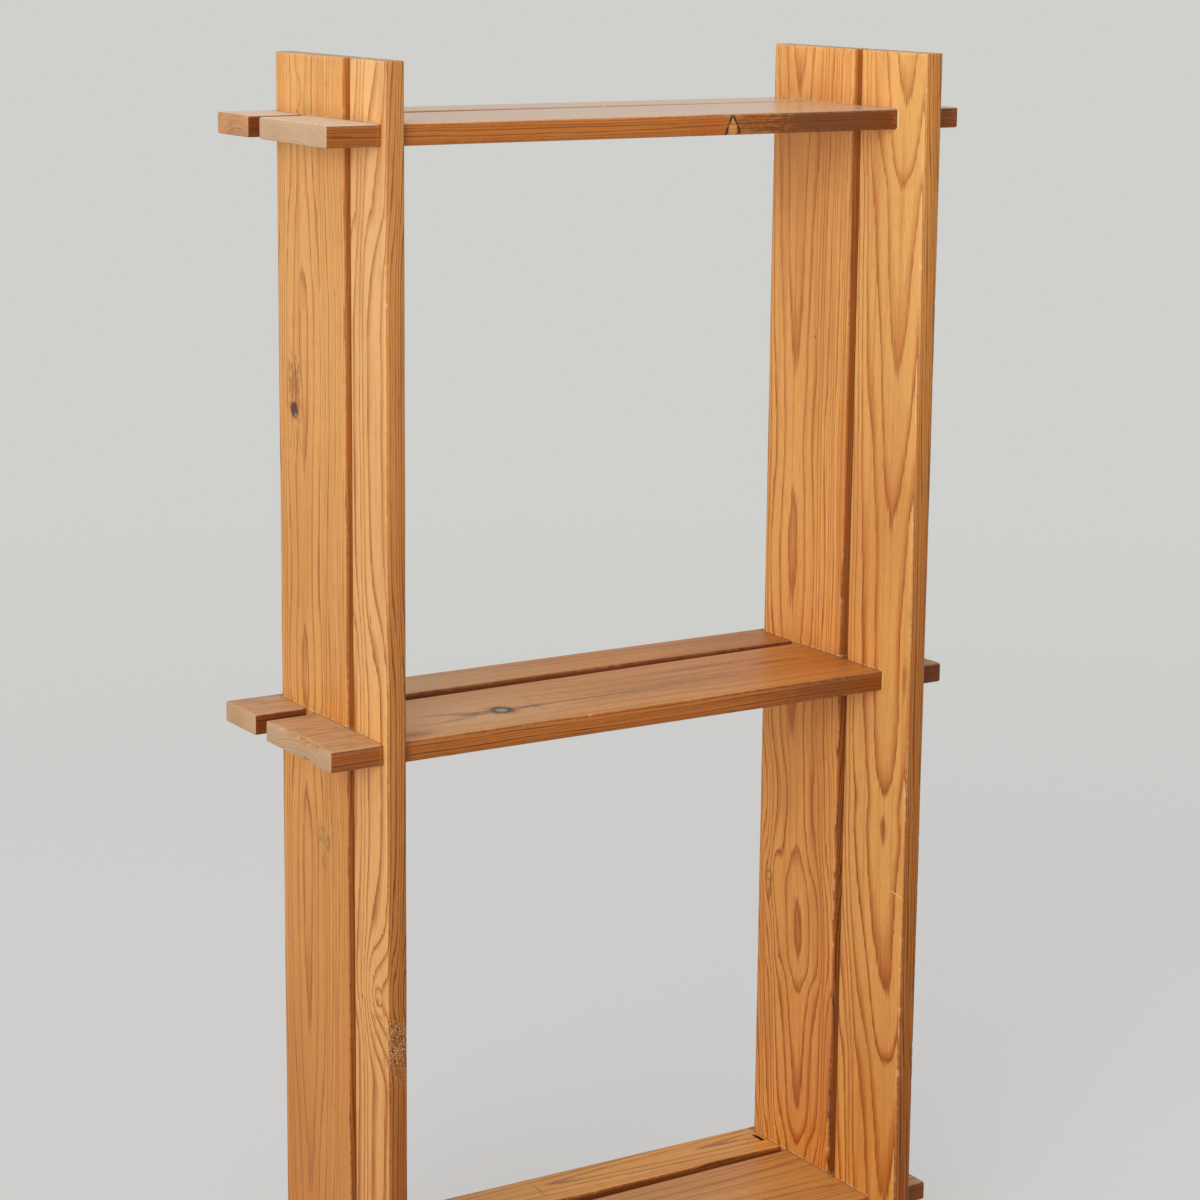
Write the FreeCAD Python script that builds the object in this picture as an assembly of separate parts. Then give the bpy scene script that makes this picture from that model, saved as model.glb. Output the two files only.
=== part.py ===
import FreeCAD, Part
import math
import os

# A free-standing pine shelf. Each side is a front upright and a wider back upright that stand in one
# plane with a narrow gap between them. Each shelf is a wide front board and a narrow rear board, again
# with a gap between them. Every shelf board crosses the uprights in a halved joint, glued: the upright
# has a slot, the board has a notch, and each takes half of the width that they share.
#
# Frame: +Z is up from the floor, +X is to the right and -Y is to the front. The origin is on the floor
# under the middle of the shelf's box.

# Driving dimensions, in millimetres
board_thickness = 22.0
shelf_length = 760.0
tab_length = 59.0
front_board_width = 153.0
rear_board_width = 70.0
shelf_gap = 17.0
left_front_width = 74.0
right_front_width = 114.0
back_width = 150.0
upright_gap = 12.0
front_lap = 66.0
foot_height = 50.0
shelf_pitch = 614.0
top_overhang = 60.0
shelf_names = ("bottom", "middle", "top")

# Eased arrises, and the room left in the joints
arris_radius = 3.0
end_easing = 1.5
mouth_lead = 0.3
joint_clearance = 0.2

# The slip of the chisel beside the right back upright, in the bottom shelf's rear board
slip_width = 3.5
slip_length = 18.0
slip_depth = 12.0
slip_setback = 6.0

# Heights of the undersides of the shelves, and of the uprights
shelf_floors = [foot_height + level * shelf_pitch for level in range(len(shelf_names))]
upright_height = shelf_floors[-1] + board_thickness + top_overhang

# Faces of the uprights across the shelf
outer_face = shelf_length / 2 - tab_length
inner_face = outer_face - board_thickness

# Edges from front to back, measured from the foremost upright's front edge
front_upright_back = max(left_front_width, right_front_width)
back_upright_front = front_upright_back + upright_gap
back_upright_back = back_upright_front + back_width
front_board_front = front_upright_back - front_lap
front_board_back = front_board_front + front_board_width
rear_board_front = front_board_back + shelf_gap
rear_board_back = rear_board_front + rear_board_width

# The whole depth, and the shift that puts the origin at its middle
foremost_edge = min(0.0, front_board_front)
rearmost_edge = max(back_upright_back, rear_board_back)
middle_depth = (foremost_edge + rearmost_edge) / 2

# Where the two halves of each joint meet
front_joint = (front_board_front + front_upright_back) / 2
back_joint = (back_upright_front + front_board_back) / 2
rear_joint = (rear_board_front + back_upright_back) / 2

# How far a cutter runs past the wood
run_out = 10.0


def point(x, y, z):
    """A point of the shelf, with y measured from the foremost upright's front edge."""
    return FreeCAD.Vector(x, y - middle_depth, z)


def block(low, high):
    """A plain block between two corners."""
    size = high - low
    return Part.makeBox(size.x, size.y, size.z, low)


def eased_board(low, high):
    """A board with its long arrises rounded and the edges of its sawn ends broken."""
    board = block(low, high)
    half_length = max(edge.Length for edge in board.Edges) / 2
    arrises = [edge for edge in board.Edges if edge.Length > half_length]
    rounded = board.makeFillet(arris_radius, arrises)
    end_edges = [edge for edge in rounded.Edges if edge.Length < half_length]
    return rounded.makeChamfer(end_easing, end_edges)


def upright(side, front, back, slots):
    """An upright on one side, with slots given by their edges from front to back."""
    near, far = sorted((side * inner_face, side * outer_face))
    board = eased_board(point(near, front, 0), point(far, back, upright_height))
    for floor in shelf_floors:
        ceiling = floor + board_thickness + joint_clearance
        for slot_front, slot_back in slots:
            low = point(near - run_out, slot_front, floor)
            high = point(far + run_out, slot_back, ceiling)
            board = board.cut(block(low, high))
    return board


def notch(side, mouth, end, floor):
    """The cutter of a notch round an upright, from its eased mouth at a board's edge to its end."""
    near, far = sorted((side * inner_face, side * outer_face))
    near -= joint_clearance / 2
    far += joint_clearance / 2
    inward = 1 if end > mouth else -1
    # The rounding starts a little outside the board's edge, so that it crosses the edge at an angle
    start = mouth - inward * mouth_lead
    full = start + inward * arris_radius
    outside = mouth - inward * run_out
    bend = arris_radius * (1 - math.cos(math.pi / 4))

    def corner(x, y):
        return point(x, y, floor - run_out)

    def rounding(wall, away):
        first = corner(wall + away * arris_radius, start)
        middle = corner(wall + away * bend, start + inward * bend)
        return Part.Arc(first, middle, corner(wall, full)).toShape()

    def straight(first, last):
        return Part.LineSegment(first, last).toShape()

    edges = [
        straight(corner(near - arris_radius, outside), corner(near - arris_radius, start)),
        rounding(near, -1),
        straight(corner(near, full), corner(near, end)),
        straight(corner(near, end), corner(far, end)),
        straight(corner(far, end), corner(far, full)),
        rounding(far, 1),
        straight(corner(far + arris_radius, start), corner(far + arris_radius, outside)),
        straight(corner(far + arris_radius, outside), corner(near - arris_radius, outside)),
    ]
    outline = Part.Face(Part.Wire(edges))
    return outline.extrude(FreeCAD.Vector(0, 0, board_thickness + 2 * run_out))


def shelf_board(front, back, floor, notches):
    """A shelf board, with notches given by the edge that they open at and where they end."""
    half_length = shelf_length / 2
    board = eased_board(point(-half_length, front, floor), point(half_length, back, floor + board_thickness))
    for side in (-1, 1):
        for mouth, end in notches:
            board = board.cut(notch(side, mouth, end, floor))
    return board


def front_upright(side, width):
    """A front upright: its slots open at its back edge, so that its front edge is unbroken."""
    slots = [(front_joint - joint_clearance, front_upright_back + run_out)]
    return upright(side, front_upright_back - width, front_upright_back, slots)


def back_upright(side):
    """A back upright: its slots open at both edges, with a tongue between a shelf's two boards."""
    slots = [
        (back_upright_front - run_out, back_joint + joint_clearance),
        (rear_joint - joint_clearance, back_upright_back + run_out),
    ]
    return upright(side, back_upright_front, back_upright_back, slots)


def front_board(floor):
    """The wide board of a shelf, held between the front and the back uprights."""
    notches = [(front_board_front, front_joint), (front_board_back, back_joint)]
    return shelf_board(front_board_front, front_board_back, floor, notches)


def rear_board(floor):
    """The narrow board of a shelf, which enters the back uprights from behind."""
    return shelf_board(rear_board_front, rear_board_back, floor, [(rear_board_front, rear_joint)])


def chisel_slip(floor):
    """The cutter of the chisel's slip, against the inner face of the right back upright."""
    top = floor + board_thickness
    back = back_upright_back - slip_setback
    low = point(inner_face - slip_width, back - slip_length, top - slip_depth)
    high = point(inner_face, back, top + run_out)
    return block(low, high)


pieces = {
    "left_front_upright": front_upright(-1, left_front_width),
    "right_front_upright": front_upright(1, right_front_width),
    "left_back_upright": back_upright(-1),
    "right_back_upright": back_upright(1),
}
for name, floor in zip(shelf_names, shelf_floors):
    pieces[name + "_shelf_front_board"] = front_board(floor)
    pieces[name + "_shelf_rear_board"] = rear_board(floor)

slipped_board = shelf_names[0] + "_shelf_rear_board"
pieces[slipped_board] = pieces[slipped_board].cut(chisel_slip(shelf_floors[0]))

os.makedirs("parts", exist_ok=True)
for name, shape in pieces.items():
    shape.exportStep("parts/" + name + ".step")
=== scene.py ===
from dataclasses import dataclass
from math import pi, radians

import bmesh
import bpy
from mathutils import Matrix, Vector, noise


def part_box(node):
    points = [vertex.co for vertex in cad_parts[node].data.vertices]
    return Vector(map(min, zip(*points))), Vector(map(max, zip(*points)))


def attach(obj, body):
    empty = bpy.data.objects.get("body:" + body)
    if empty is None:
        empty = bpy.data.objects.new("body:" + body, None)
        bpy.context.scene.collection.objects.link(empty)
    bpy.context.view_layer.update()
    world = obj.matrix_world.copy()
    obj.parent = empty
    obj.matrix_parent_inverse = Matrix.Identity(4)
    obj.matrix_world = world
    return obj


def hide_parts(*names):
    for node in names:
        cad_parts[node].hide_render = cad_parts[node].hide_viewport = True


# A free-standing pine shelf, board by board. Lengths are metres, written as a number of millimetres
# where that reads better. +Z is up, +X is to the right and -Y is to the front.
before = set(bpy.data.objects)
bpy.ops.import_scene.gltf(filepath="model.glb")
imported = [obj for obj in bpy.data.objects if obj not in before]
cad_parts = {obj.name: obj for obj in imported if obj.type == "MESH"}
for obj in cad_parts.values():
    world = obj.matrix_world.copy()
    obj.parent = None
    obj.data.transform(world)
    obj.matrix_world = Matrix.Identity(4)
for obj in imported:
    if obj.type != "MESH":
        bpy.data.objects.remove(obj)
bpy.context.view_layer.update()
mm = 0.001

# Boards. A board's axes are named for its grain: along it, across the width and through the thickness.
X, Y, Z = 0, 1, 2
levels = ("bottom", "middle", "top")
upright_names = [side + "_" + row + "_upright" for side in ("left", "right") for row in ("front", "back")]
shelf_names = [level + "_shelf_" + row + "_board" for level in levels for row in ("front", "rear")]

# Mesh: the lengths that faces are divided into, the easing of the arrises, and cuts along narrow edges
step_along = 4 * mm
step_across = 6 * mm
arris_radius = 2.6 * mm
arris_segments = 3
end_easing = 1.3 * mm
end_segments = 2
joint_room = 0.2 * mm
on_plane = joint_room / 4
sharp_angle = radians(40)
corner_angle = radians(60)
edge_cuts = (-4 * mm, 0.0, 4 * mm)
tiny = 1e-6

# How squarely a face looks along an axis, to count as facing it or as leaning towards it
facing = 0.9
leaning = 0.2

# Wear: how far the arrises are rubbed down and bared, how deep and common chips are, and how wood tears
rub_depth = 0.5 * mm
rub_length = 90 * mm
rub_reach = 1.1 * arris_radius
chip_depth = 2.2 * mm
chip_length = 9 * mm
chip_rarity = 0.62
chip_gain = 0.4
chip_run_gain = 0.5
bare_by_rub = 0.5
bare_by_chip = 3.0
dent_grain = 5 * mm
torn_depth = 1.5 * mm
torn_reach = 5 * mm
torn_grain = 2.2 * mm
torn_cuts = 3
tear_rise = 1.6
tear_fall = 6.0

# The slip of a chisel beside the right back upright, in the bottom shelf's rear board
slip_width = 7 * mm
slip_length = 22 * mm
slip_depth = 12 * mm
slip_setback = 10 * mm
slip_gap = 3.5 * mm
slipped_board = "bottom_shelf_rear_board"
slipped_upright = "right_back_upright"

# The back edges of the wide shelf boards run out of parallel: further back at the right end than at the left
skew_start = 25 * mm
skew_at_end = 9 * mm

# Grain: how fine it is across and along the trunk, in waves to the metre
wave_grain = (30, 5)
strand_grain = (700, 14)
tone_grain = (16, 2.5)
streak_grain = (150, 3)
fibre_grain = (1400, 45)
blotch_grain = (260, 120)
smear_grain = (240, 32)

# Grain that is even round the trunk or follows the shelf's axes, in waves to the metre
drift_grain = 5.0
patch_grain = 160.0
splinter_grain = (620, 620, 760)
splinter_slant = radians(35)
torn_patches = (150, 150, 60)

# Rings: how their width swings, by how many rings they are ragged, and when in a year late wood grows
swing_pace = 1.9
swing_rings = 0.3
wave_rings = 0.25
strand_rings = 0.2
latest_start = 1.05
late_spread = 0.25
late_full = 0.9
late_stop = 0.95
rim_start = 0.84
rim_full = 0.93
weakest_year = 0.65

# How far below its own surface a narrow edge, an end or a top starts to show, and where it shows fully
edge_start = 2.4 * mm
edge_full = 0.8 * mm
end_start = 0.9 * mm
end_full = 0.3 * mm
top_start = 1.6 * mm
top_full = 0.6 * mm

# Dust, and grime with painted contact shade, at the joints, the run in which a tab turns pale, and the height
# of the grain
dust_height = 0.6 * mm
dust_full = 0.3 * mm
dust_reach = 1.6 * mm
grime_and_shade_full = 0.6 * mm
grime_and_shade_reach = 3.5 * mm
tab_blend = 8 * mm
relief_height = 0.25 * mm

# Ramps: two values that a step runs between, and what it gives there, if not nought and one
tone_ramp = (0.4, 0.75, 0.0, 0.35)
streak_ramp = (0.48, 0.75, 0.0, 0.4)
fibre_ramp = (0.48, 0.8, 0.0, 0.6)
strand_ramp = (0.35, 0.5, 0.18, 0.0)
line_ramp = (0.2, 0.6)
dust_ramp = (0.45, 0.6)
grime_and_shade_ramp = (0.3, 0.6, 0.35, 1.0)
smear_ramp = (0.42, 0.66)
end_ramp = (0.4, 0.7, 0.0, 0.5)
bare_ramp = (0.35, 0.6)
dent_ramp = (0.4, 0.6, 0.3, 0.85)
splinter_ramp = (0.46, 0.6)
flake_ramp = (0.38, 0.46, 0.75, 0.0)
tear_ramp = (0.3, 0.6, 0.45, 0.95)
dull_ramp = (0.3, 0.7, 0.48, 0.56)

# How strongly tints, shine and relief show
plainest = 0.65
shade_gain = 0.5
rim_strength = 0.8
dust_strength = 0.5
grime_and_shade_strength = 0.6
tab_dust_and_sheen_strength = 0.5
soil_strength = 0.4
bare_strength = 0.62
late_polish = 0.06
end_dullness = 0.2
upright_shine = 0.3
shelf_shine = 0.35
late_relief = 0.4
strand_relief = 0.5
fibre_relief = 0.4
upright_relief = 0.4
shelf_relief = 0.2
gloss_relief = 0.6


def axes_of(name):
    """The axes along, across and through a board."""
    return (Z, Y, X) if name in upright_names else (X, Y, Z)


def joint_between(board, upright):
    """Where a shelf board and an upright share their width, and where the two halves meet."""
    board_low, board_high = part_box(board)
    upright_low, upright_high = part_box(upright)
    front = max(board_low.y, upright_low.y)
    back = min(board_high.y, upright_high.y)
    return front, back, (front + back) / 2


def opening(name, other):
    """The room that a board leaves for a board that crosses it, open at its own edge, or None."""
    board, upright = (other, name) if name in upright_names else (name, other)
    front, back, middle = joint_between(board, upright)
    if back - front < joint_room:
        return None
    low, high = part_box(name)
    other_low, other_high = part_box(other)
    room = Vector((joint_room, joint_room, joint_room)) / 2
    cut_low = other_low - room
    cut_high = other_high + room
    if abs(low.y - front) < joint_room:
        cut_low.y = low.y
        cut_high.y = middle + joint_room / 2
    else:
        cut_low.y = middle - joint_room / 2
        cut_high.y = high.y
    return cut_low, cut_high


def openings_of(name):
    """Every opening in a board for the boards that cross it."""
    others = shelf_names if name in upright_names else upright_names
    found = [opening(name, other) for other in others]
    return [cut for cut in found if cut]


def chisel_slip():
    """The room of the chisel's slip, beside the upright's inner face."""
    upright_low, upright_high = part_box(slipped_upright)
    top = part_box(slipped_board)[1].z
    back = upright_high.y - slip_setback
    right = upright_low.x - slip_gap
    low = Vector((right - slip_width, back - slip_length, top - slip_depth))
    high = Vector((right, back, top + slip_depth))
    return low, high


def skew_of(name):
    """By what share the back of a wide shelf board is stretched, for each metre to the right."""
    low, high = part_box(name)
    return skew_at_end / (high.y - skew_start) / high.x if name in shelf_names[::2] else 0.0


def unit(axis):
    """A vector one metre long on an axis."""
    return Vector([1.0 if index == axis else 0.0 for index in range(3)])


def slice_across(bm, axis, place):
    """Cuts the whole mesh along a plane, without taking anything away."""
    geometry = bm.verts[:] + bm.edges[:] + bm.faces[:]
    bmesh.ops.bisect_plane(bm, geom=geometry, dist=tiny, plane_co=unit(axis) * place, plane_no=unit(axis))


def divide(bm, axis, step):
    """Divides every run along an axis into equal lengths near the step."""
    runs = {}
    for edge in bm.edges:
        start, end = sorted(vert.co[axis] for vert in edge.verts)
        if end - start > 1.5 * step:
            runs.setdefault((round(start, 5), round(end, 5)), []).append(edge)
    for (start, end), edges in runs.items():
        cuts = round((end - start) / step) - 1
        bmesh.ops.subdivide_edges(bm, edges=edges, cuts=max(cuts, 1), use_grid_fill=True)


def inside(point, cut, axes):
    """Whether a point is within a cut, looking through the board."""
    low, high = cut
    return all(low[axis] < point[axis] < high[axis] for axis in axes)


def points_of(geometry):
    """The vertices among what an operator gives."""
    return [item for item in geometry if isinstance(item, bmesh.types.BMVert)]


def sink(bm, pocket, depth):
    """Sinks the part of a board's top that is within a pocket."""
    tops = [face for face in bm.faces
            if face.normal.z > facing and inside(face.calc_center_median(), pocket, (X, Y))]
    grown = bmesh.ops.extrude_face_region(bm, geom=tops)["geom"]
    bmesh.ops.translate(bm, verts=points_of(grown), vec=-unit(Z) * depth)
    left_over = [face for face in tops if face.is_valid]
    bmesh.ops.delete(bm, geom=left_over, context="FACES")


def sawn_board(name):
    """A board with its openings sawn out and its faces divided, still with sharp arrises."""
    along, across, through = axes_of(name)
    low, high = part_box(name)
    cuts = openings_of(name)
    pockets = [chisel_slip()] if name == slipped_board else []
    bm = bmesh.new()
    corners = []
    for end, side in ((low, low), (high, low), (high, high), (low, high)):
        corner = low.copy()
        corner[along] = end[along]
        corner[across] = side[across]
        corners.append(bm.verts.new(corner))
    bm.faces.new(corners)
    lines = {(axis, cut[end][axis]) for cut in cuts + pockets for axis in (along, across) for end in (0, 1)}
    for axis, place in sorted(lines):
        if low[axis] + joint_room < place < high[axis] - joint_room:
            slice_across(bm, axis, place)
    waste = [face for face in bm.faces
             if any(inside(face.calc_center_median(), cut, (along, across)) for cut in cuts)]
    bmesh.ops.delete(bm, geom=waste, context="FACES")
    divide(bm, along, step_along)
    divide(bm, across, step_across)
    grown = bmesh.ops.extrude_face_region(bm, geom=bm.faces[:])["geom"]
    bmesh.ops.translate(bm, verts=points_of(grown), vec=unit(through) * (high[through] - low[through]))
    bmesh.ops.recalc_face_normals(bm, faces=bm.faces[:])
    for pocket in pockets:
        sink(bm, pocket, slip_depth)
    bmesh.ops.recalc_face_normals(bm, faces=bm.faces[:])
    return bm


def round_off(bm, edges, radius, segments):
    """Rounds edges to a radius."""
    bmesh.ops.bevel(bm, geom=edges, offset=radius, offset_type="OFFSET", affect="EDGES",
                    segments=segments, profile=0.5, material=-1, clamp_overlap=True)


def ease_arrises(bm, name):
    """Rounds a board's long arrises, then more lightly its ends and the mouths of a shelf board's notches."""
    along, across, through = axes_of(name)
    low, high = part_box(name)

    def on_box(edge, axis, reach=on_plane):
        gaps = [[abs(vert.co[axis] - side[axis]) for vert in edge.verts] for side in (low, high)]
        return any(max(gap) < reach for gap in gaps)

    def corners():
        return [edge for edge in bm.edges if edge.is_convex and edge.calc_face_angle(0) > corner_angle]

    def faces(edge, axis, share):
        return [face for face in edge.link_faces if abs(face.normal[axis]) > share]

    def at_mouth(edge):
        near = on_box(edge, across, arris_radius + on_plane)
        return near and faces(edge, along, facing) and faces(edge, across, leaning)

    long_arrises = [edge for edge in corners() if on_box(edge, across) and on_box(edge, through)]
    round_off(bm, long_arrises, arris_radius, arris_segments)
    ends = [edge for edge in corners() if on_box(edge, along)]
    if name in shelf_names:
        ends += [edge for edge in corners() if not on_box(edge, along) and at_mouth(edge)]
    round_off(bm, ends, end_easing, end_segments)
    middle = (low[through] + high[through]) / 2
    for cut in edge_cuts:
        slice_across(bm, through, middle + cut)


@dataclass
class Wear:
    """How far use has marked one board. Dents are given by their middle, reach and depth in millimetres."""
    rubbed: float = 1.0
    chipped: float = 0.3
    seed: float = 0.0
    chip_run: tuple = ()
    dents: tuple = ()
    torn: tuple = ()


def refine(bm, name, run):
    """Divides the front edge of a board more finely over a run along it."""
    along, across, _ = axes_of(name)
    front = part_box(name)[0][across]

    def chosen(face):
        centre = face.calc_center_median()
        return run[0] < centre[along] < run[1] and centre[across] < front + torn_reach

    edges = [edge for edge in bm.edges if any(chosen(face) for face in edge.link_faces)]
    bmesh.ops.subdivide_edges(bm, edges=edges, cuts=torn_cuts, use_grid_fill=True)


def weather(bm, name, wear):
    """Rubs, chips, dents and tears a board, and notes on each point how bare, dented or torn it is."""
    along, across, through = axes_of(name)
    low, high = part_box(name)
    middle = (low + high) / 2
    layer = bm.verts.layers.float_color.new("weather")
    shift = Vector((wear.seed, 2 * wear.seed, 3 * wear.seed))

    def gap(point, axis):
        return min(point[axis] - low[axis], high[axis] - point[axis])

    def inward(point, axis):
        return unit(axis) * (1 if point[axis] < middle[axis] else -1)

    def chip_at(point):
        """How far a chip reaches, where there is one."""
        share = wear.chipped
        if wear.chip_run and wear.chip_run[0] < point[along] < wear.chip_run[1]:
            share += chip_run_gain
        return max(noise.noise(point / chip_length + shift) - chip_rarity + chip_gain * share, 0.0)

    def dent_at(point):
        """How dented the wood is, and how deep."""
        dented = 0.0
        depth = 0.0
        for dent_middle, reach, dent_depth in wear.dents:
            share = min(1.0, 2 - 2 * (point - Vector(dent_middle) * mm).length / (reach * mm))
            if share > 0:
                rough = 0.6 + 0.4 * noise.noise(point / dent_grain + shift)
                dented = max(dented, share)
                depth += dent_depth * mm * share * rough
        return dented, depth

    def tear_at(point):
        """How torn the front edge is, and how deep."""
        if not wear.torn:
            return 0.0, 0.0
        start, end = wear.torn
        share = (point[along] - start) / (end - start)
        reach = 1 - gap(point, across) / torn_reach
        if not 0 < share < 1 or reach <= 0 or point[across] >= middle[across]:
            return 0.0, 0.0
        torn = min(1.0, tear_rise * share, tear_fall * (1 - share)) * reach
        rough = 0.5 + 0.6 * noise.noise(point / torn_grain + shift)
        rough *= 0.7 + 0.6 * noise.noise(point / (4 * torn_grain) - shift)
        return torn, torn * max(rough, 0.0) * torn_depth

    for vert in bm.verts:
        point = vert.co.copy()
        side = min((along, across), key=lambda axis: gap(point, axis))
        nearness = max(1 - max(gap(point, through), gap(point, side)) / rub_reach, 0.0)
        rub = nearness * (0.5 + 0.5 * noise.noise(point / rub_length + shift)) * wear.rubbed
        chip = chip_at(point) * nearness
        dented, dent = dent_at(point)
        torn, tear = tear_at(point)
        depth = rub * rub_depth + chip * chip_depth + dent * nearness ** 0.5
        bare = min(1.0, bare_by_rub * rub + bare_by_chip * chip) * (1 - dented)
        vert[layer] = (bare, dented * nearness ** 0.5, torn, 1.0)
        corner = inward(point, through) + inward(point, side)
        vert.co = point + corner * depth + inward(point, across) * tear


def skew(bm, name):
    """Stretches or narrows the back of a wide shelf board from end to end."""
    stretch = skew_of(name)
    for vert in bm.verts:
        behind = max(vert.co.y - skew_start, 0.0)
        vert.co.y += behind * vert.co.x * stretch


def placed(name, data):
    """A new object in the scene."""
    item = bpy.data.objects.new(name, data)
    bpy.context.scene.collection.objects.link(item)
    return item


def mesh_object(name, bm, material):
    """A mesh in the scene, with its material."""
    mesh = bpy.data.meshes.new(name)
    bm.to_mesh(mesh)
    bm.free()
    mesh.materials.append(material)
    return placed(name, mesh)


def board_object(name, wear, material):
    """One finished board in place of its solid."""
    bm = sawn_board(name)
    ease_arrises(bm, name)
    if wear.torn:
        refine(bm, name, wear.torn)
    weather(bm, name, wear)
    skew(bm, name)
    for face in bm.faces:
        face.smooth = True
    for edge in bm.edges:
        edge.smooth = edge.calc_face_angle(0) < sharp_angle
    piece = mesh_object(name + "_wood", bm, material)
    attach(piece, "root")
    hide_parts(name)


class Nodes:
    """A tree of nodes that are added one step at a time."""

    def __init__(self, tree):
        self.tree = tree

    def fill(self, socket, value):
        """Links a socket to what another step gives, or sets it."""
        if isinstance(value, bpy.types.NodeSocket):
            self.tree.links.new(value, socket)
        else:
            socket.default_value = value

    def add(self, kind, inputs=(), **settings):
        """A node with its settings, and its inputs by name or number."""
        node = self.tree.nodes.new("ShaderNode" + kind)
        for key, value in settings.items():
            setattr(node, key, value)
        for key, value in dict(inputs).items():
            self.fill(node.inputs[key], value)
        return node

    def math(self, operation, *values):
        return self.add("Math", enumerate(values), operation=operation).outputs[0]

    def times(self, first, second):
        return self.math("MULTIPLY", first, second)

    def apart(self, first, second):
        """How far two values are apart."""
        return self.math("ABSOLUTE", self.math("SUBTRACT", first, second))

    def vector(self, operation, *values):
        node = self.add("VectorMath", enumerate(values), operation=operation)
        return node.outputs["Value" if operation in ("LENGTH", "DOT_PRODUCT") else "Vector"]

    def mapped(self, vector, location=(0, 0, 0), rotation=(0, 0, 0), scale=(1, 1, 1), kind="POINT"):
        inputs = {"Vector": vector, "Location": location, "Rotation": rotation, "Scale": scale}
        return self.add("Mapping", inputs, vector_type=kind).outputs["Vector"]

    def noise(self, vector, scale=1.0, detail=2.0, roughness=0.5, output="Fac"):
        inputs = {"Vector": vector, "Scale": scale, "Detail": detail, "Roughness": roughness}
        return self.add("TexNoise", inputs).outputs[output]

    def ramp(self, value, low, high, to_low=0.0, to_high=1.0, smooth=True):
        """A value carried from one range to another and held at the ends."""
        inputs = {"Value": value, "From Min": low, "From Max": high, "To Min": to_low, "To Max": to_high}
        kind = "SMOOTHSTEP" if smooth else "LINEAR"
        return self.add("MapRange", inputs, interpolation_type=kind).outputs["Result"]

    def curve(self, value, points):
        """A smooth curve through points, each a place and what is there; one point alone holds everywhere."""
        if len(points) == 1:
            return points[0][1]
        places, heights = zip(*points)
        first, last = places[0], places[-1]
        low, high = min(heights), max(heights)
        node = self.add("FloatCurve", {"Value": self.ramp(value, first, last, smooth=False)})
        line = node.mapping.curves[0]
        shares = [(height - low) / (high - low) for height in heights]
        spots = [((place - first) / (last - first), share) for place, share in zip(places, shares)]
        line.points[0].location = spots[0]
        line.points[1].location = spots[-1]
        for spot in spots[1:-1]:
            line.points.new(*spot)
        for point in line.points:
            point.handle_type = "AUTO_CLAMPED"
        node.mapping.update()
        return self.math("MULTIPLY_ADD", node.outputs["Value"], high - low, low)

    def mix(self, share, first, second, blend="MIX"):
        """Two colours mixed by a share."""
        inputs = {0: share, 6: first, 7: second}
        return self.add("Mix", inputs, data_type="RGBA", blend_type=blend).outputs[2]

    def parts(self, vector):
        return self.add("SeparateXYZ", {0: vector}).outputs

    def distance(self, spot, middle, half, turn=(0, 0, 0)):
        """How far a place is from a middle, in half sizes on each axis; a half size of nought is endless."""
        return self.vector("LENGTH", self.mapped(spot, middle, turn, half, kind="TEXTURE"))

    def seen(self):
        """Whether the camera sees a place, straight, by reflection or through something clear."""
        path = self.add("LightPath").outputs
        seen = self.math("MAXIMUM", path["Is Camera Ray"], path["Is Glossy Ray"])
        return self.math("MAXIMUM", seen, path["Is Transmission Ray"])


class Finish(Nodes):
    """A material and its shader."""

    def __init__(self, name):
        self.material = bpy.data.materials.new(name)
        self.material.use_nodes = True
        super().__init__(self.material.node_tree)
        self.shader = self.tree.nodes["Principled BSDF"]

    def show(self, looks):
        """Gives the shader its inputs by name."""
        for name, value in looks.items():
            self.fill(self.shader.inputs[name], value)


def colour(red, green, blue):
    """A colour given as it shows on a screen, from 0 to 255, as a linear one."""
    def linear(value):
        value /= 255
        return value / 12.92 if value <= 0.04045 else ((value + 0.055) / 1.055) ** 2.4
    return linear(red), linear(green), linear(blue), 1.0


straw = colour(233, 178, 109)
tan = colour(226, 162, 90)
# Painted shade: darkens the lower part of the left back upright's face
painted_shade_amber = colour(192, 118, 52)
orange = colour(206, 122, 44)
russet = colour(188, 104, 20)
brown = colour(162, 103, 42)
umber = colour(118, 72, 30)
rim_brown = colour(146, 76, 22)
edge_umber = colour(136, 83, 36)
line_brown = colour(80, 45, 17)
# Partly dust, partly painted sheen: pales the top shelf's boards
dust_and_sheen_tint = colour(238, 216, 194)
pale_end = colour(202, 169, 134)
brown_end = colour(176, 130, 88)
bare_wood = colour(244, 210, 164)
joint_dust = colour(232, 206, 172)
torn_brown = colour(80, 45, 20)
torn_pale = colour(222, 172, 130)
knot_brown = colour(84, 50, 36)
# The dark of knots, and also painted shade inside the chisel's slip
knot_and_shade_black = colour(52, 34, 30)
knot_grey = colour(170, 158, 150)
stain_grey = colour(122, 98, 72)
# Painted shade, multiplied over an upright more the lower it is
shade_tint = colour(234, 214, 178)
# Partly dust, partly painted sheen: pales the tops of the tabs
tab_dust_and_sheen_tint = colour(206, 172, 138)
soil = colour(134, 88, 54)
tab_side_tint = colour(222, 212, 196)
edge_tint = colour(230, 208, 182)
# Painted shade: upright edges darker towards the foot
low_edge_shade_tint = colour(190, 156, 106)
# Painted shade: the back uprights' edges, darker where they face into the gap between the uprights
gap_edge_shade_tint = colour(206, 168, 122)
# Painted light: a pale patch that lifts the shadow of the left uprights on the middle shelf's tops
painted_light_tint = colour(236, 200, 146)
shelf_edge_tint = colour(208, 168, 116)
# Painted shade: the rear shelf boards' edges, darker where they face into the gap
rear_edge_shade_tint = colour(158, 114, 70)
shelf_top_tint = colour(250, 240, 226)


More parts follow.
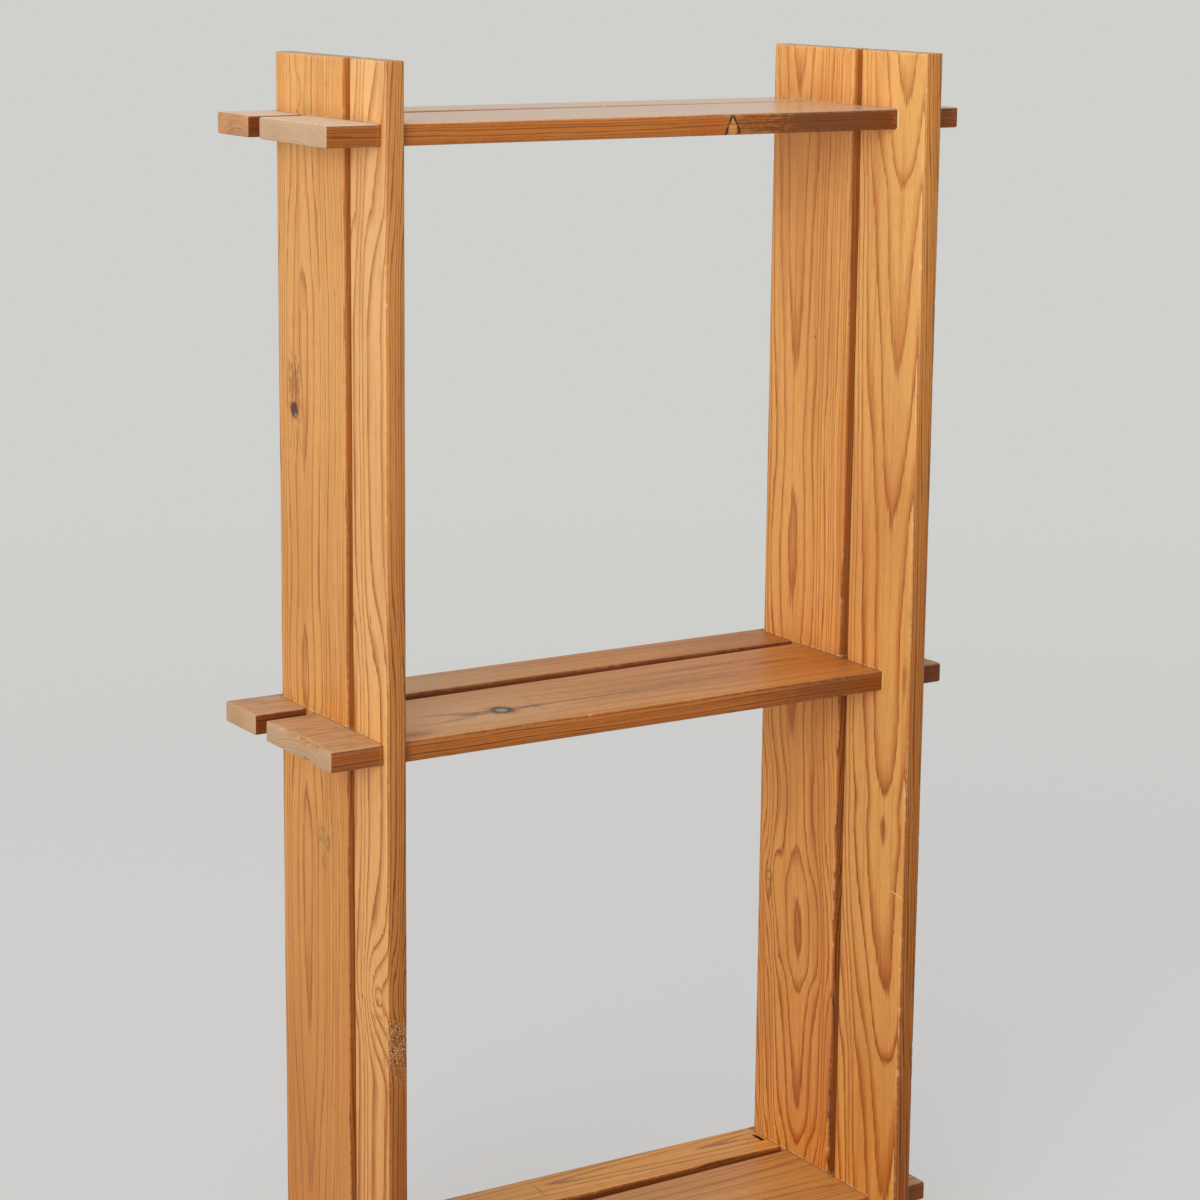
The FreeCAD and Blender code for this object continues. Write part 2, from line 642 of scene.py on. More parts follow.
@dataclass
class Mark:
    """A knot, stain or fleck, or a patch of painted shade or light: its middle and half sizes in millimetres,
    where nought is endless.
    """
    middle: tuple
    half: tuple
    tint: tuple
    strength: float = 0.6
    turn: tuple = (0, 0, 0)
    soft: float = 0.5
    hollow: float = 0.0
    ragged: float = 0.3


def fan(middle, spread, half_length, lean, tint, strength):
    """Thin streaks side by side that lean apart, as fibres do beside a knot."""
    x, y, z = middle
    sides = (-1.0, -0.3, 0.35, 1.0)
    return [Mark((x, y + side * spread, z), (6, 1.9, half_length), tint, strength, turn=(side * lean, 0, 0),
                 soft=0.8, ragged=0.4) for side in sides]


@dataclass
class Swell:
    """A place where the rings bulge: its middle and half sizes in millimetres, and by how many rings."""
    middle: tuple
    half: tuple
    rings: float


@dataclass
class Figure:
    """How a board was sawn from its trunk, in millimetres.

    The heart line is where the rings come nearest on the face that shows. It is given by places along the
    board and where it is across the board there. The depth is how far the pith is behind it. The rise gives
    places along the board and the ring that is met there on the heart line.
    """
    heart: tuple
    depth: float
    ring: float
    rise: tuple
    seed: float
    early: tuple
    late: tuple
    wander: float = 3.0
    contrast: float = 1.0
    late_share: float = 0.35
    edge: tuple = edge_tint
    edge_lines: float = 0.9
    dust_and_sheen: float = 0.0
    tab_dust_and_sheen: float = 0.0
    gloss: float = 0.08
    end_early: tuple = pale_end
    end_late: tuple = brown_end
    swells: tuple = ()
    marks: tuple = ()


class Pine(Finish):
    """Oiled pine of one board: growth rings round a pith, fibres, knots, browned edges and worn arrises, with
    painted shade, sheen and light in places.
    """

    def __init__(self, name, figure):
        super().__init__(name + "_pine")
        self.name = name
        self.figure = figure
        self.is_upright = name in upright_names
        self.along, self.across, self.through = axes_of(name)
        self.low, self.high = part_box(name)
        self.middle = (self.low + self.high) / 2
        self.spot = self.add("TexCoord").outputs["Object"]
        self.place = self.parts(self.spot)
        self.patch = self.noise(self.spot, patch_grain, 3.0)
        self.find_trunk()
        self.grow_rings()
        self.colour_wood()
        self.add_marks()
        self.brown_edges()
        if self.is_upright:
            self.dust_joints()
        else:
            self.dress_shelf()
        self.bare_ends()
        self.show_wear()
        self.finish_surface()

    def grain(self, fineness, detail, shift=(0, 0, 0), roughness=0.5):
        """Noise drawn out along the trunk, with its fineness across and along it."""
        across, along = fineness
        stretched = self.vector("MULTIPLY_ADD", self.trunk, (across, across, along), shift)
        return self.noise(stretched, 1.0, detail, roughness)

    def paint(self, share, tint, blend="MIX"):
        """Lays a tint over the wood by a share."""
        self.wood = self.mix(share, self.wood, tint, blend)

    def find_trunk(self):
        """Finds each place by the trunk's own axes: the pith is the line where the first two are nought."""
        # Where a place was across the board before its back edge ran out of parallel
        self.width = self.place[self.across]
        if skew_of(self.name):
            behind = self.math("MAXIMUM", self.math("SUBTRACT", self.width, skew_start), 0.0)
            stretch = self.math("MULTIPLY_ADD", self.place[X], skew_of(self.name), 1.0)
            straight = self.math("DIVIDE", behind, stretch)
            self.width = self.math("ADD", self.math("SUBTRACT", self.width, behind), straight)
        heart = self.curve(self.place[self.along], [(at * mm, side * mm) for at, side in self.figure.heart])
        depth = self.figure.depth * mm
        pith = self.low[self.through] + depth if self.is_upright else self.high[self.through] - depth
        from_heart = self.math("SUBTRACT", self.width, heart)
        from_pith = self.math("SUBTRACT", self.place[self.through], pith)
        self.length = self.math("SUBTRACT", self.place[self.along], self.middle[self.along])
        self.trunk = self.add("CombineXYZ", {0: from_heart, 1: from_pith, 2: self.length}).outputs[0]

    def grow_rings(self):
        """Rings round the pith, each with early wood and a band of late wood."""
        figure = self.figure
        # The pith wanders a little, and rings are of uneven width
        height = self.vector("MULTIPLY_ADD", self.trunk, (0, 0, 1), (figure.seed, 0, 0))
        drift = self.noise(height, drift_grain, 2.0, 0.5, "Color")
        wander = figure.wander * mm
        drift = self.vector("MULTIPLY_ADD", drift, (2 * wander, 0, 0), (-wander, 0, 0))
        bent = self.vector("ADD", self.trunk, drift)
        radius = self.vector("LENGTH", self.vector("MULTIPLY", bent, (1, 1, 0)))
        count = self.math("MULTIPLY_ADD", radius, 1 / (figure.ring * mm), -figure.depth / figure.ring)
        swing = self.math("SINE", self.times(count, swing_pace))
        rings = self.math("MULTIPLY_ADD", swing, swing_rings, count)
        rise = [(at * mm, ring) for at, ring in figure.rise]
        rings = self.math("ADD", rings, self.curve(self.place[self.along], rise))
        # Small waves and the raggedness of single fibres
        wave = self.grain(wave_grain, 2.0, (figure.seed, 0, 0))
        self.strand = self.grain(strand_grain, 3.0)
        for unrest, reach in ((wave, wave_rings), (self.strand, strand_rings)):
            rings = self.math("ADD", rings, self.ramp(unrest, 0.0, 1.0, -reach, reach, smooth=False))
        # Rings bulge round knots
        for swell in figure.swells:
            away = self.distance(self.spot, Vector(swell.middle) * mm, Vector(swell.half) * mm)
            rings = self.math("ADD", rings, self.ramp(away, 0.0, 1.0, swell.rings, 0.0))
        # Late wood darkens slowly and ends sharply, and differs in breadth and strength from year to year
        season = self.math("FRACT", rings)
        chance = self.add("TexWhiteNoise", {"W": self.math("FLOOR", rings)}, noise_dimensions="1D").outputs
        latest = latest_start - figure.late_share
        late_start = self.math("MULTIPLY_ADD", chance["Value"], -late_spread, latest)
        start = self.ramp(season, late_start, late_full)
        stop = self.ramp(season, late_stop, 1.0, 1.0, 0.0)
        vigour = self.ramp(self.parts(chance["Color"])[1], 0.0, 1.0, weakest_year, 1.0, smooth=False)
        self.band = self.times(self.times(start, stop), vigour)
        self.late = self.times(self.band, figure.contrast)
        # The share of painted shade on an upright, full at its foot and none at its top; late wood shows more
        # strongly the lower it is
        if self.is_upright:
            self.shade = self.ramp(self.place[Z], 0.0, self.high.z, 1.0, 0.0, smooth=False)
            self.late = self.times(self.late, self.math("MULTIPLY_ADD", self.shade, shade_gain, plainest))
        self.rim = self.times(self.late, self.ramp(season, rim_start, rim_full, 0.0, rim_strength))

    def colour_wood(self):
        """Early and late wood, slow changes of tone, streaks and fine fibres, and painted shade low on the
        uprights.
        """
        figure = self.figure
        self.tone = self.grain(tone_grain, 3.0, (0, figure.seed, 0))
        streak = self.grain(streak_grain, 3.0, (0, figure.seed, 0))
        self.fibre = self.grain(fibre_grain, 2.0)
        self.wood = self.mix(self.late, figure.early, figure.late)
        self.paint(self.rim, rim_brown)
        self.paint(self.ramp(self.tone, *tone_ramp), figure.late)
        self.paint(self.ramp(streak, *streak_ramp), figure.late)
        self.paint(self.ramp(self.fibre, *fibre_ramp), brown)
        self.paint(self.ramp(self.strand, *strand_ramp), straw)
        # Painted shade: uprights are darker and browner the lower they are
        if self.is_upright:
            self.paint(self.shade, shade_tint, "MULTIPLY")

    def add_marks(self):
        """Knots, stains and flecks, and patches of painted shade or light, with ragged outlines."""
        self.blotch = self.grain(blotch_grain, 3.0)
        unrest = self.math("SUBTRACT", self.math("ADD", self.blotch, self.strand), 1.0)
        for mark in self.figure.marks:
            turn = [radians(angle) for angle in mark.turn]
            away = self.distance(self.spot, Vector(mark.middle) * mm, Vector(mark.half) * mm, turn)
            away = self.math("MULTIPLY_ADD", unrest, 2 * mark.ragged, away)
            share = self.ramp(away, 1 - mark.soft, 1.0, mark.strength, 0.0)
            if mark.hollow:
                inner = mark.hollow - 0.6 * mark.soft
                share = self.times(share, self.ramp(away, inner, mark.hollow))
            self.paint(share, mark.tint)

    def brown_edges(self):
        """Narrow edges, browned by hands and in places darkened by painted shade, on which the growth lines
        show most.
        """
        from_middle = self.apart(self.width, self.middle[self.across])
        half_width = (self.high[self.across] - self.low[self.across]) / 2
        self.edge = self.ramp(from_middle, half_width - edge_start, half_width - edge_full)
        tint = self.figure.edge
        line_tint = line_brown
        # On an upright, painted shade darkens the edge towards its foot, and the growth lines there too
        if self.is_upright:
            tint = self.mix(self.shade, tint, low_edge_shade_tint)
            line_tint = self.mix(self.ramp(self.shade, *line_ramp), edge_umber, line_brown)
        self.paint(self.edge, tint, "MULTIPLY")
        lines = self.times(self.times(self.edge, self.band), self.figure.edge_lines)
        self.paint(lines, line_tint)

    def dust_joints(self):
        """Dust on an upright, along the tops of the shelves that pass through it."""
        for shelf in shelf_names[::2]:
            front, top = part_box(shelf)
            above = self.apart(self.place[Z], top.z + dust_height)
            lying = self.ramp(above, dust_full, dust_reach, dust_strength, 0.0)
            lying = self.times(lying, self.ramp(self.patch, *dust_ramp))
            behind = self.math("GREATER_THAN", self.place[Y], front.y)
            self.paint(self.times(lying, behind), joint_dust)

    def dress_shelf(self):
        """A shelf board's top, paled partly by a dusting and partly by painted sheen, its soiled tabs, paled
        the same way, and dirt with painted contact shade where it crosses the uprights.
        """
        figure = self.figure
        self.top = self.ramp(self.place[Z], self.high.z - top_start, self.high.z - top_full)
        self.paint(self.top, shelf_top_tint, "MULTIPLY")
        upright_low, upright_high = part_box("right_back_upright")
        out = self.math("ABSOLUTE", self.place[X])
        on_tab = self.ramp(out, upright_high.x, upright_high.x + tab_blend)
        # Pale top, partly dust and partly painted sheen, more on the tabs
        dust_and_sheen_share = self.math("MULTIPLY_ADD", on_tab, figure.tab_dust_and_sheen, figure.dust_and_sheen)
        self.paint(self.times(self.top, dust_and_sheen_share), dust_and_sheen_tint)
        self.paint(self.times(self.edge, on_tab), tab_side_tint, "MULTIPLY")
        self.tab_top = self.times(self.top, on_tab)
        # Tab tops paled partly by dust and partly by painted sheen, and soiled by smears
        clear_of_dust_and_sheen = 1 - figure.tab_dust_and_sheen
        self.paint(self.times(self.tab_top, tab_dust_and_sheen_strength * clear_of_dust_and_sheen), tab_dust_and_sheen_tint)
        smear = self.grain(smear_grain, 4.0, roughness=0.6)
        dirt = self.ramp(smear, *smear_ramp, 0.0, soil_strength * clear_of_dust_and_sheen)
        self.paint(self.times(self.tab_top, dirt), soil)
        # Grime with painted contact shade: a dark line on the top beside each face of an upright
        middle = (upright_low.x + upright_high.x) / 2
        face = (upright_high.x - upright_low.x) / 2
        beside = self.apart(out, middle)
        grime_and_shade = self.ramp(beside, face + grime_and_shade_full, face + grime_and_shade_reach, grime_and_shade_strength, 0.0)
        grime_and_shade = self.times(grime_and_shade, self.ramp(self.patch, *grime_and_shade_ramp))
        self.paint(grime_and_shade, umber)

    def bare_ends(self):
        """End grain, paler and dull, with its rings."""
        figure = self.figure
        half_length = (self.high[self.along] - self.low[self.along]) / 2
        from_middle = self.math("ABSOLUTE", self.length)
        self.end = self.ramp(from_middle, half_length - end_start, half_length - end_full)
        end_wood = self.mix(self.band, figure.end_early, figure.end_late)
        end_wood = self.mix(self.ramp(self.tone, *end_ramp), end_wood, figure.end_late)
        self.paint(self.end, end_wood)

    def show_wear(self):
        """What use has left: bare arrises, grimy dents and torn grain."""
        weather_colour = self.add("Attribute", attribute_name="weather").outputs["Color"]
        worn = self.add("SeparateColor", {0: weather_colour}).outputs
        bare = self.times(worn[0], self.ramp(self.patch, *bare_ramp))
        self.paint(self.times(bare, bare_strength), bare_wood)
        self.paint(self.times(worn[1], self.ramp(self.blotch, *dent_ramp)), soil)
        slant = self.mapped(self.spot, rotation=(0, splinter_slant, 0), scale=splinter_grain)
        splinter = self.noise(slant, 1.0, 2.0, 0.6)
        wide = self.noise(self.vector("MULTIPLY", self.spot, torn_patches), 1.0, 2.0)
        torn = self.times(worn[2], self.ramp(splinter, *splinter_ramp))
        torn = self.times(torn, self.ramp(wide, *tear_ramp))
        flakes = self.times(worn[2], self.ramp(splinter, *flake_ramp))
        self.paint(torn, torn_brown)
        self.paint(flakes, torn_pale)

    def finish_surface(self):
        """Colour, gloss and relief: late wood is smoother and stands proud, and handled tops are glossier."""
        gloss = self.figure.gloss
        dullness = self.math("MULTIPLY_ADD", self.late, -late_polish, self.ramp(self.patch, *dull_ramp))
        dullness = self.math("MULTIPLY_ADD", self.end, end_dullness, dullness)
        if not self.is_upright:
            handled = self.math("SUBTRACT", self.top, self.tab_top)
            dullness = self.math("MULTIPLY_ADD", handled, -gloss, dullness)
        shine = upright_shine if self.is_upright else shelf_shine
        relief = self.times(self.late, late_relief)
        relief = self.math("MULTIPLY_ADD", self.strand, strand_relief, relief)
        relief = self.math("MULTIPLY_ADD", self.fibre, fibre_relief, relief)
        strength = upright_relief if self.is_upright else shelf_relief - gloss_relief * gloss
        bump = self.add("Bump", {"Strength": strength, "Distance": relief_height, "Height": relief})
        self.show({"Base Color": self.wood, "Roughness": dullness, "Specular IOR Level": shine,
                   "Normal": bump.outputs["Normal"]})


# Faces that show: the left ones of the uprights
left_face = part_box("left_back_upright")[0].x / mm
right_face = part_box("right_back_upright")[0].x / mm

figures = {
    "left_front_upright": Figure(
        heart=((0, -125),), depth=190, ring=3.9, seed=1.3,
        early=colour(240, 187, 121), late=colour(190, 112, 44), late_share=0.36, contrast=1.05,
        rise=((0, 1.5), (250, 2.0), (350, 2.2), (450, 1.0), (610, 1.8), (700, 1.8), (775, 1.3), (925, 0.0),
              (1080, 0.0), (1220, 1.3), (1360, 2.6)),
        swells=(
            Swell((left_face, -88, 412), (0, 64, 95), -2.6),
            Swell((left_face, -80, 418), (0, 13, 18), -0.9),
        ),
        marks=(
            Mark((left_face, -70, 809), (6, 1.2, 7), umber, 0.75),
            Mark((left_face, -47, 408), (6, 1.8, 5), umber, 0.75),
            Mark((left_face, -80, 426), (6, 5.5, 6), brown, 0.6, hollow=0.7),
            Mark((left_face, -81, 412), (6, 4, 6), umber, 0.6, ragged=0.6),
            Mark((left_face, -94, 408), (6, 5, 14), orange, 0.6, soft=0.9),
            Mark((left_face, -86, 398), (6, 1.3, 9), umber, 0.6, turn=(-72, 0, 0)),
            Mark((left_face, -84, 393), (6, 1.4, 18), rim_brown, 0.75, turn=(-68, 0, 0)),
            Mark((left_face, -73, 392), (6, 1.4, 9), rim_brown, 0.7, turn=(-42, 0, 0)),
            Mark((left_face, -84, 377), (6, 1.4, 13), rim_brown, 0.7, turn=(-40, 0, 0)),
            Mark((left_face, -95, 358), (6, 1.4, 14), rim_brown, 0.6, turn=(-26, 0, 0)),
            Mark((left_face, -67, 211), (6, 13, 45), russet, 0.35, soft=1.0),
        )),
    "left_back_upright": Figure(
        heart=((0, 74),), depth=135, ring=2.1, seed=2.9, edge=gap_edge_shade_tint,
        early=colour(234, 173, 101), late=colour(190, 114, 44), late_share=0.32, contrast=1.05,
        rise=((0, 1.6), (200, 0.7), (400, -0.2), (520, -0.35), (602, 0.0), (650, 0.2), (720, -0.2),
              (775, 0.0), (830, 0.25), (900, 0.1), (1000, -0.25), (1080, -0.3), (1154, 0.0), (1200, 0.3),
              (1300, 0.65), (1360, 0.5)),
        swells=(
            Swell((left_face, 92, 996), (0, 22, 70), 0.8),
            Swell((left_face, 84, 1322), (0, 14, 26), 0.9),
        ),
        marks=(
            # Painted shade over the lower part of the face
            Mark((left_face, 57, 180), (8, 170, 560), painted_shade_amber, 0.42, soft=1.0),
            Mark((left_face, 96, 1026), (0, 15, 40), umber, 0.7, soft=1.0, ragged=1.2),
            *fan((left_face, 96, 1026), 8, 26, -10, brown, 0.6),
            *fan((left_face, 93, 966), 10, 22, 16, brown, 0.45),
            Mark((left_face, 86, 996), (0, 15, 15), orange, 0.8, hollow=0.6),
            Mark((left_face, 95, 1001), (0, 14, 16), brown, 0.7, soft=0.8, ragged=0.6),
            Mark((left_face, 95, 997), (0, 10.5, 11), knot_brown, 0.95, soft=0.4, ragged=0.3),
            Mark((left_face, 93, 992), (0, 4, 3.5), knot_grey, 0.6, soft=0.8),
            Mark((left_face, 17, 1332), (6, 5, 4), russet, 0.6, hollow=0.65),
            Mark((left_face, 43, 559), (6, 9, 15), stain_grey, 0.75, soft=0.7, hollow=0.6, ragged=0.7),
            Mark((left_face, 27, 552), (6, 8, 12), stain_grey, 0.75, soft=0.7, hollow=0.5, ragged=0.7),
            Mark((left_face, 35, 530), (6, 9, 12), stain_grey, 0.6, soft=0.8, hollow=0.4, ragged=0.9),
            Mark((left_face, -12, 480), (6, 7, 460), orange, 0.45, soft=1.0),
        )),
    "right_front_upright": Figure(
        heart=((0, -124), (230, -121), (320, -117), (500, -106), (700, -105), (1000, -108), (1240, -110),
               (1360, -112)),
        depth=200, ring=3.2, seed=4.1,
        early=colour(240, 182, 106), late=colour(190, 100, 28), late_share=0.42,
        rise=((0, 6.5), (70, 6.0), (233, 5.0), (255, 4.65), (321, 4.0), (394, 3.55), (470, 3.1), (489, 3.0),
              (506, 2.93), (523, 3.0), (534, 3.05), (545, 3.0), (590, 2.6), (850, 2.0), (880, 1.8),
              (1018, 1.0), (1100, 0.6), (1215, 0.0), (1242, -0.4), (1302, -1.0), (1360, -1.4)),
        marks=(
            Mark((right_face, -97.6, 1289), (4, 1.6, 13), bare_wood, 0.95, soft=0.3, ragged=0.1),
            Mark((right_face, -97.4, 675), (4, 1.2, 12), bare_wood, 0.5, soft=0.5),
            Mark((right_face, -136, 687), (6, 6, 32), rim_brown, 0.55, soft=0.8, ragged=0.5),
            Mark((right_face, -130, 396), (4, 1.5, 4), umber, 0.75),
            Mark((right_face, -117, 40), (6, 24, 120), orange, 0.4, soft=1.0),
            Mark((right_face, -132, 440), (4, 16, 1.2), bare_wood, 0.5, turn=(8, 0, 0)),
        )),
    "right_back_upright": Figure(
        heart=((0, 44), (150, 46), (313, 49), (460, 60), (505, 61), (590, 71), (700, 76), (1000, 79),
               (1360, 82)),
        depth=117, ring=3.0, seed=5.7, edge=gap_edge_shade_tint,
        early=colour(242, 178, 102), late=colour(190, 100, 28), late_share=0.4,
        rise=((0, 4.2), (84, 3.0), (130, 2.0), (198, 1.6), (268, 1.0), (284, 0.7), (313, 0.0), (350, -0.15),
              (391, 0.0), (430, 0.65), (458, 1.0), (505, 1.25), (555, 1.0), (650, 0.6), (705, 0.0),
              (762, -0.22), (780, -0.25), (797, -0.22), (856, 0.0), (920, 0.25), (985, 0.0), (1073, -0.35),
              (1300, -1.0), (1360, -1.35)),
        swells=(Swell((right_face, 112, 397), (0, 40, 75), -1.3),),
        marks=(
            Mark((right_face, 110, 397), (6, 9, 8), umber, 0.75, hollow=0.65),
            Mark((right_face, 108, 378), (6, 4, 16), umber, 0.5, turn=(10, 0, 0), ragged=0.7),
            Mark((right_face, 43, 1040), (6, 1.6, 3), umber, 0.7),
            Mark((right_face, -12, 880), (6, 6, 330), russet, 0.45, soft=1.0),
            Mark((right_face, -12, 180), (6, 6, 170), russet, 0.45, soft=1.0),
        )),
    "top_shelf_front_board": Figure(
        heart=((0, -20),), depth=170, ring=3.3, seed=12.7, early=tan, late=brown, contrast=0.5,
        edge=colour(222, 184, 132), edge_lines=0.5, dust_and_sheen=0.4, tab_dust_and_sheen=0.58, gloss=0.27,
        end_late=colour(186, 148, 112),
        rise=((-380, 0.2), (-100, 0.6), (150, 0.0), (380, 0.7)),
        marks=(
            Mark((60, -96, 1288), (46, 7, 0), orange, 0.5, soft=0.8),
            Mark((87.5, -96, 1284), (7.5, 8, 15), bare_wood, 0.8, soft=0.5),
            Mark((112, -96, 1289), (22, 7, 16), brown, 0.6, soft=0.8, ragged=0.7),
            Mark((230, -96, 1289), (150, 5, 0), umber, 0.85, soft=0.6, ragged=0.5),
            Mark((84.8, -96, 1294), (1.7, 9, 8), knot_and_shade_black, 0.95, turn=(0, 24, 0), ragged=0.2),
            Mark((80.3, -96, 1283), (1.9, 9, 8), knot_and_shade_black, 0.95, turn=(0, 17, 0), ragged=0.2),
            Mark((90.2, -96, 1294), (1.8, 9, 8), knot_and_shade_black, 0.95, turn=(0, -26, 0), ragged=0.2),
            Mark((94.8, -96, 1284), (2.2, 9, 7), knot_and_shade_black, 0.95, turn=(0, -19, 0), ragged=0.2),
            Mark((95, -96, 1280), (4, 9, 3), knot_and_shade_black, 0.8, soft=0.7, ragged=0.4),
            Mark((80, -96, 1279), (3.4, 9, 2.5), knot_and_shade_black, 0.8, soft=0.7, ragged=0.4),
        )),
    "top_shelf_rear_board": Figure(
        heart=((0, 100),), depth=60, ring=2.6, seed=11.7, early=tan, late=brown, contrast=0.5,
        edge=rear_edge_shade_tint, dust_and_sheen=0.4, tab_dust_and_sheen=0.58, gloss=0.27,
        end_early=colour(204, 150, 104), end_late=colour(150, 92, 52),
        rise=((-380, 0.0), (0, 0.8), (380, 0.2))),
    "middle_shelf_front_board": Figure(
        heart=((0, -36),), depth=190, ring=2.9, seed=9.7, early=tan, late=brown, contrast=0.55,
        edge=shelf_edge_tint, end_early=colour(192, 158, 122),
        rise=((-380, 0.55), (-210, 0.5), (-150, 0.4), (0, 0.7), (200, 0.5), (380, 1.1)),
        swells=(Swell((-149, -35, 686), (70, 26, 0), 1.2),),
        marks=(
            # Painted light over the left part of the top
            Mark((-230, -20, 686), (240, 120, 10), painted_light_tint, 0.75, soft=1.0),
            Mark((-40, -35, 686), (180, 5, 8), umber, 0.6, soft=0.9, turn=(0, 0, -1)),
            Mark((100, -29, 686), (120, 4.5, 8), umber, 0.55, soft=0.9),
            Mark((-205, -24, 686), (52, 5, 8), umber, 0.55, soft=0.9, turn=(0, 0, -12), ragged=0.5),
            Mark((-203, -45, 686), (50, 5, 8), umber, 0.5, soft=0.9, turn=(0, 0, 11), ragged=0.5),
            Mark((-182, -34, 686), (30, 8, 8), umber, 0.85, soft=0.9, ragged=0.4),
            Mark((-114, -36, 686), (28, 7, 8), umber, 0.75, soft=0.9, ragged=0.4),
            Mark((-149, -35, 686), (32, 24, 0), umber, 0.8, soft=1.0, ragged=0.5),
            Mark((-149, -35, 686), (17, 18, 0), knot_and_shade_black, 0.95, soft=0.5, hollow=0.4),
            Mark((-150, -35, 686), (8.5, 9, 0), knot_grey, 0.9, soft=0.5, ragged=0.15),
            Mark((-278, -78, 686), (40, 17, 6), umber, 0.6, soft=1.0, ragged=0.6),
            Mark((150, 20, 686), (120, 9, 6), umber, 0.5, soft=1.0, ragged=0.6),
            Mark((213, 2, 686), (60, 9, 6), umber, 0.7, soft=1.0, ragged=0.5),
            Mark((260, -30, 686), (190, 100, 8), orange, 0.55, soft=1.0),
            Mark((300, -96, 675), (220, 5, 0), brown, 0.75, soft=0.7),
            Mark((330, -20, 686), (110, 120, 8), brown, 0.6, soft=1.0),
        )),
    "middle_shelf_rear_board": Figure(
        heart=((0, 96),), depth=90, ring=2.8, seed=8.7, early=colour(232, 164, 84), late=brown, contrast=0.7,
        edge=rear_edge_shade_tint, end_early=colour(198, 162, 124), end_late=colour(178, 130, 88),
        rise=((-380, 0.3), (0, 0.0), (380, 0.5)),
        marks=(
            # Painted light over the left part of the top
            Mark((-200, 109, 686), (240, 90, 10), painted_light_tint, 0.8, soft=1.0),
            Mark((280, 109, 686), (190, 90, 8), brown, 0.45, soft=1.0),
        )),
    "bottom_shelf_front_board": Figure(
        heart=((0, -10),), depth=160, ring=2.9, seed=10.7, early=colour(226, 168, 98), late=brown,
        contrast=0.55, edge=shelf_edge_tint, rise=((-380, 0.0), (100, 0.5), (380, -0.2))),
    "bottom_shelf_rear_board": Figure(
        heart=((0, 118),), depth=70, ring=2.4, seed=7.7, early=colour(250, 186, 96), late=brown, contrast=0.8,
        edge=rear_edge_shade_tint,
        rise=((-380, 1.0), (-60, 0.2), (120, -0.6), (260, -1.2), (380, -2.0)),
        marks=(
            Mark((-14, 109, 72), (1.2, 24, 4), umber, 0.6, turn=(0, 0, -6), soft=0.6),
            # Painted shade inside the chisel's slip
            Mark((292, 111, 62), (12, 30, 9.7), knot_and_shade_black, 0.95, soft=0.1, ragged=0.0),
        )),
}

wears = {name: Wear(seed=0.37 * index) for index, name in enumerate(upright_names + shelf_names)}
wears["left_front_upright"].torn = (322 * mm, 402 * mm)
wears["right_front_upright"].chip_run = (170 * mm, 600 * mm)
wears["right_front_upright"].rubbed = 1.3
wears["middle_shelf_front_board"].dents = (
    ((-380, -62, 686), 14, 1.6), ((-380, -36, 686), 20, 2.4), ((-380, -8, 686), 13, 1.4),
    ((-380, -40, 664), 9, 1.8),
)

for board in upright_names + shelf_names:
    board_object(board, wears[board], Pine(board, figures[board]).material)

# Camera: it stands to the left of the shelf at eye height and looks down a little
eye = Vector((-1726.1, -2735.4, 1491.5)) * mm
heading = radians(32.12)
tilt_down = radians(11.07)
roll = radians(0.54)
focal_length = 92.9
sensor_width = 36.0
image_shift = -0.06

camera = placed("camera", bpy.data.cameras.new("camera"))
camera.data.sensor_width = sensor_width
camera.data.lens = focal_length
camera.data.shift_y = image_shift
aim = Matrix.Rotation(-heading, 4, "Z") @ Matrix.Rotation(pi / 2 - tilt_down, 4, "X")
aim = aim @ Matrix.Rotation(roll, 4, "Z")
camera.matrix_world = Matrix.Translation(eye) @ aim
bpy.context.scene.camera = camera


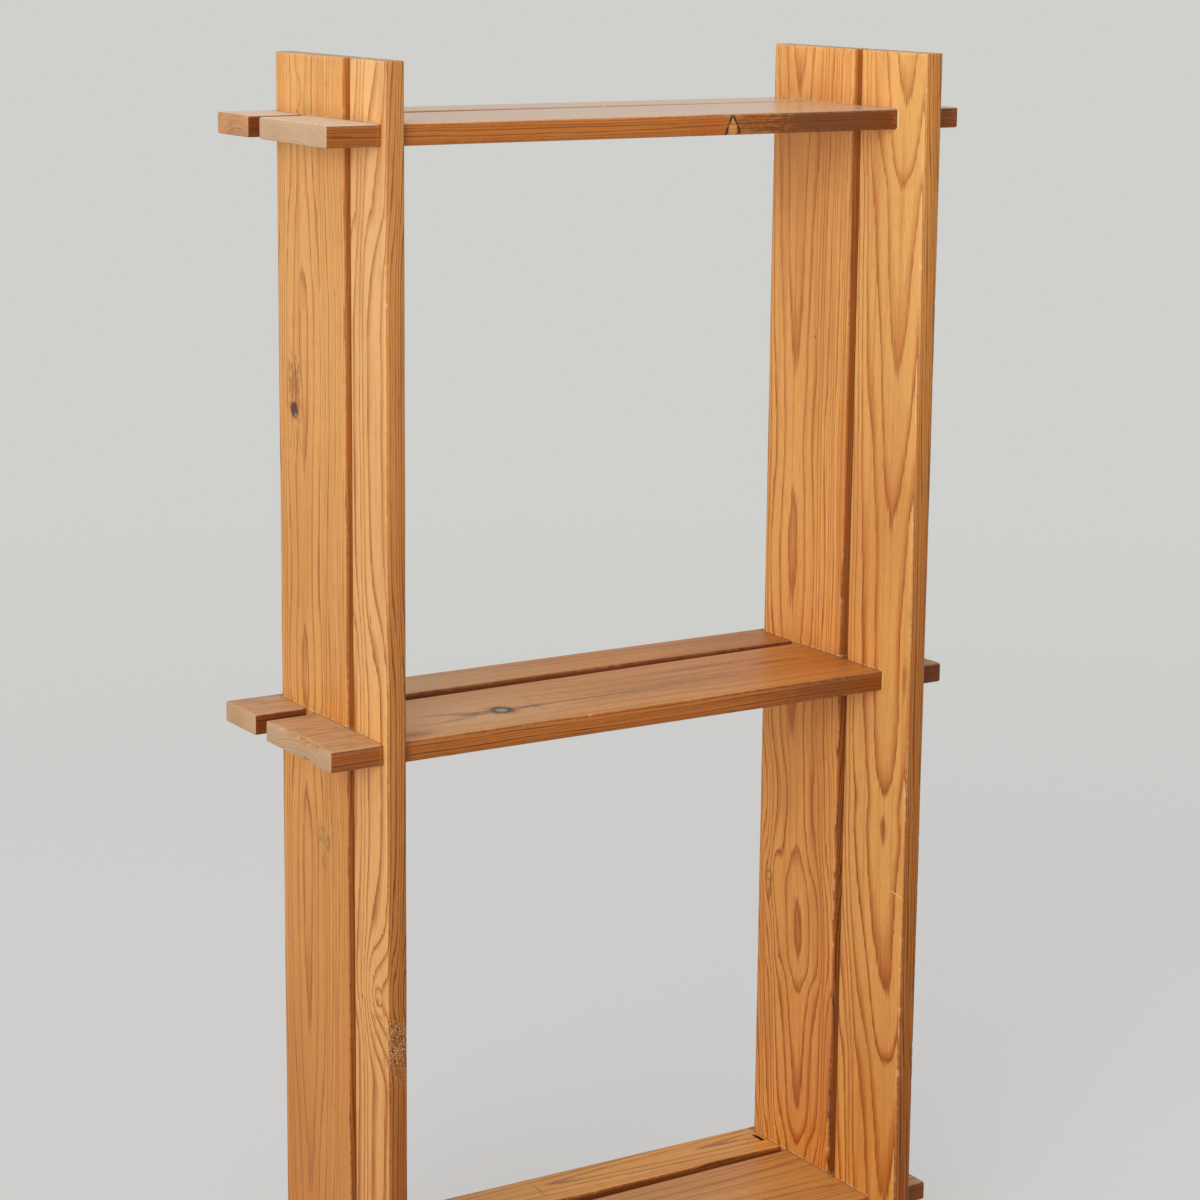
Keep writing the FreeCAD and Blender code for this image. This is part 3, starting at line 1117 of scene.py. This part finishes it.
def area_lamp(name, place, target, size, power):
    """A large soft lamp that faces a target."""
    lamp = bpy.data.lights.new(name, "AREA")
    lamp.shape = "SQUARE"
    lamp.size = size
    lamp.energy = power
    holder = placed(name, lamp)
    turn = (Vector(target) - Vector(place)).to_track_quat("-Z", "Y")
    holder.matrix_world = Matrix.Translation(place) @ turn.to_matrix().to_4x4()
    holder.visible_camera = False


def pale_world(shown, lit):
    """Soft light from all round, and a pale ground where the camera or a reflection sees past the stage."""
    world = bpy.data.worlds.new("pale_room")
    world.use_nodes = True
    steps = Nodes(world.node_tree)
    room = steps.tree.nodes["Background"]
    room.inputs["Color"].default_value = lit
    ground = steps.add("Background", {"Color": shown})
    choice = steps.add("MixShader", {0: steps.seen(), 1: room.outputs[0], 2: ground.outputs[0]})
    steps.fill(steps.tree.nodes["World Output"].inputs["Surface"], choice.outputs[0])
    bpy.context.scene.world = world


def pale_floor(radius, paint, glow, roughness=0.8, segments=96, fade_start=0.25, fade_end=0.95):
    """A round floor that fades out before its rim, so that no edge shows."""
    finish = Finish("floor_paint")
    finish.show({"Base Color": paint, "Roughness": roughness, "Emission Color": paint,
                 "Emission Strength": finish.times(finish.seen(), glow)})
    spot = finish.add("TexCoord").outputs["Object"]
    fade = finish.ramp(finish.vector("LENGTH", spot), fade_start * radius, fade_end * radius)
    clear = finish.add("BsdfTransparent")
    mixed = finish.add("MixShader", {0: fade, 1: finish.shader.outputs[0], 2: clear.outputs[0]})
    finish.fill(finish.tree.nodes["Material Output"].inputs["Surface"], mixed.outputs[0])
    bm = bmesh.new()
    bmesh.ops.create_circle(bm, cap_ends=True, radius=radius, segments=segments)
    floor = mesh_object("floor", bm, finish.material)


pale_world(shown=(0.63, 0.63, 0.61, 1.0), lit=(0.48, 0.48, 0.48, 1.0))
pale_floor(radius=5.0, paint=(0.26, 0.257, 0.253, 1.0), glow=1.6)
area_lamp("window", place=(-4.35, -3.3, 1.8), target=(0, 0, 0.9), size=3.4, power=225.0)
area_lamp("skylight", place=(-0.6, -1.0, 4.4), target=(0, 0, 0.7), size=3.0, power=34.0)
bpy.context.scene.view_settings.view_transform = "Standard"
